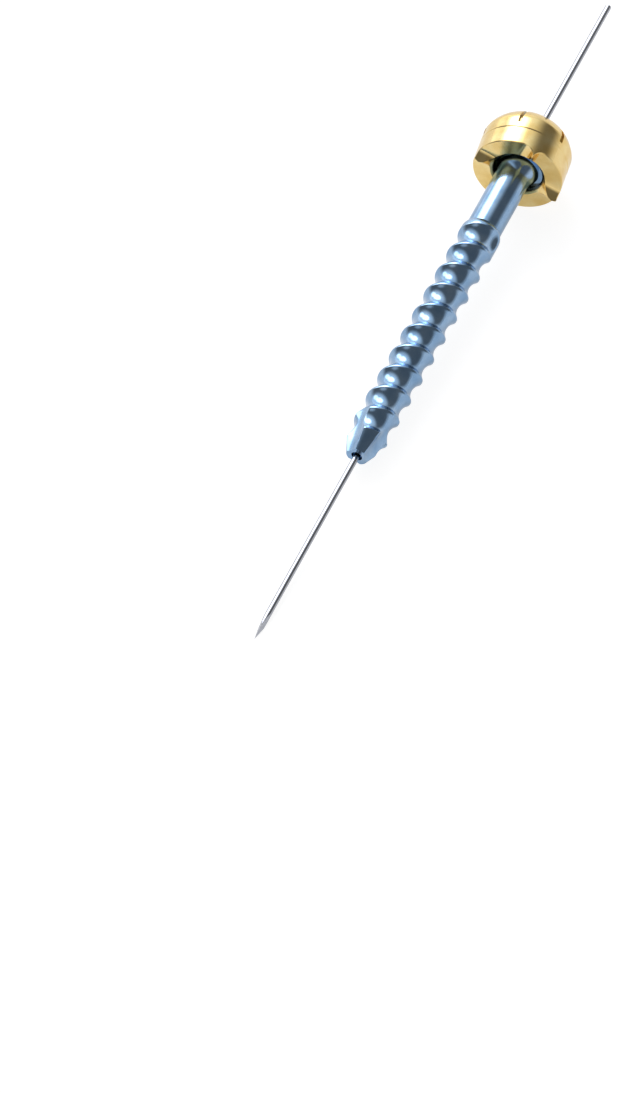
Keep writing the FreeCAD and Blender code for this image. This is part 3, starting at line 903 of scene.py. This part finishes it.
# %% White background
# Only the camera sees plain white behind the object; mirrors see the room.
lit = add(tree, "ShaderNodeBackground", {"Strength": 1.0}, {"Color": total})
plain = add(tree, "ShaderNodeBackground", {"Color": WHITE, "Strength": 1.0})
ray = add(tree, "ShaderNodeLightPath")
mix = add(tree, "ShaderNodeMixShader",
          links={0: ray.outputs["Is Camera Ray"], 1: lit.outputs[0], 2: plain.outputs[0]})
add(tree, "ShaderNodeOutputWorld", links={"Surface": mix.outputs[0]})

# %% [markdown]
# ## Table
# The photograph's ground is plain white. A white square under the object could be lit by the lamp alone,
# but it would look grey to the camera and dark in the metal. So part of it glows: the camera sees it
# almost as white as the background and still with its shadow, and polished metal mirrors a well lit
# table.

# %% White laminate
TABLE_ROUGHNESS, TABLE_SPECULAR = 0.7, 0.2
TABLE_GLOW = 1.2
CAMERA_SHARE, MIRROR_SHARE = 0.75, 0.40


def white_laminate():
    """Matt white laminate that mixes in an even glow: one share where the camera looks at it, another
    where polished metal mirrors it."""
    material = bpy.data.materials.new("white_laminate")
    material.use_nodes = True
    tree = material.node_tree
    paint = tree.nodes["Principled BSDF"]
    paint.inputs["Base Color"].default_value = linear("#F4F4F4")
    paint.inputs["Roughness"].default_value = TABLE_ROUGHNESS
    paint.inputs["Specular IOR Level"].default_value = TABLE_SPECULAR
    glow = add(tree, "ShaderNodeEmission", {"Color": WHITE, "Strength": TABLE_GLOW})
    path = add(tree, "ShaderNodeLightPath")
    seen = add(tree, "ShaderNodeMath", {"operation": "MULTIPLY", 1: CAMERA_SHARE},
               {0: path.outputs["Is Camera Ray"]})
    share = add(tree, "ShaderNodeMath", {"operation": "MULTIPLY_ADD", 1: MIRROR_SHARE},
                {0: path.outputs["Is Glossy Ray"], 2: seen.outputs["Value"]})
    blend = add(tree, "ShaderNodeMixShader",
                links={0: share.outputs["Value"], 1: paint.outputs[0], 2: glow.outputs[0]})
    tree.links.new(blend.outputs[0], tree.nodes["Material Output"].inputs["Surface"])
    return material


# %% Table top
TABLE_HALF_SIZE = 8.0
TABLE_DROP = 0.03 * MM


def table_top(half_size, drop):
    """A flat square just under the object."""
    mesh = bpy.data.meshes.new("table_top")
    corners = [(-1, -1), (1, -1), (1, 1), (-1, 1)]
    mesh.from_pydata([(half_size * x, half_size * y, -drop) for x, y in corners], [], [(0, 1, 2, 3)])
    table = bpy.data.objects.new("table_top", mesh)
    bpy.context.scene.collection.objects.link(table)
    mesh.materials.append(white_laminate())
    return table


table_top(TABLE_HALF_SIZE, TABLE_DROP)
print("table lies", round(TABLE_DROP / MM, 2), "mm under the object")

# %% [markdown]
# ## Finish
# Colours are shown as written.

# %% View settings
bpy.context.scene.view_settings.view_transform = "Standard"
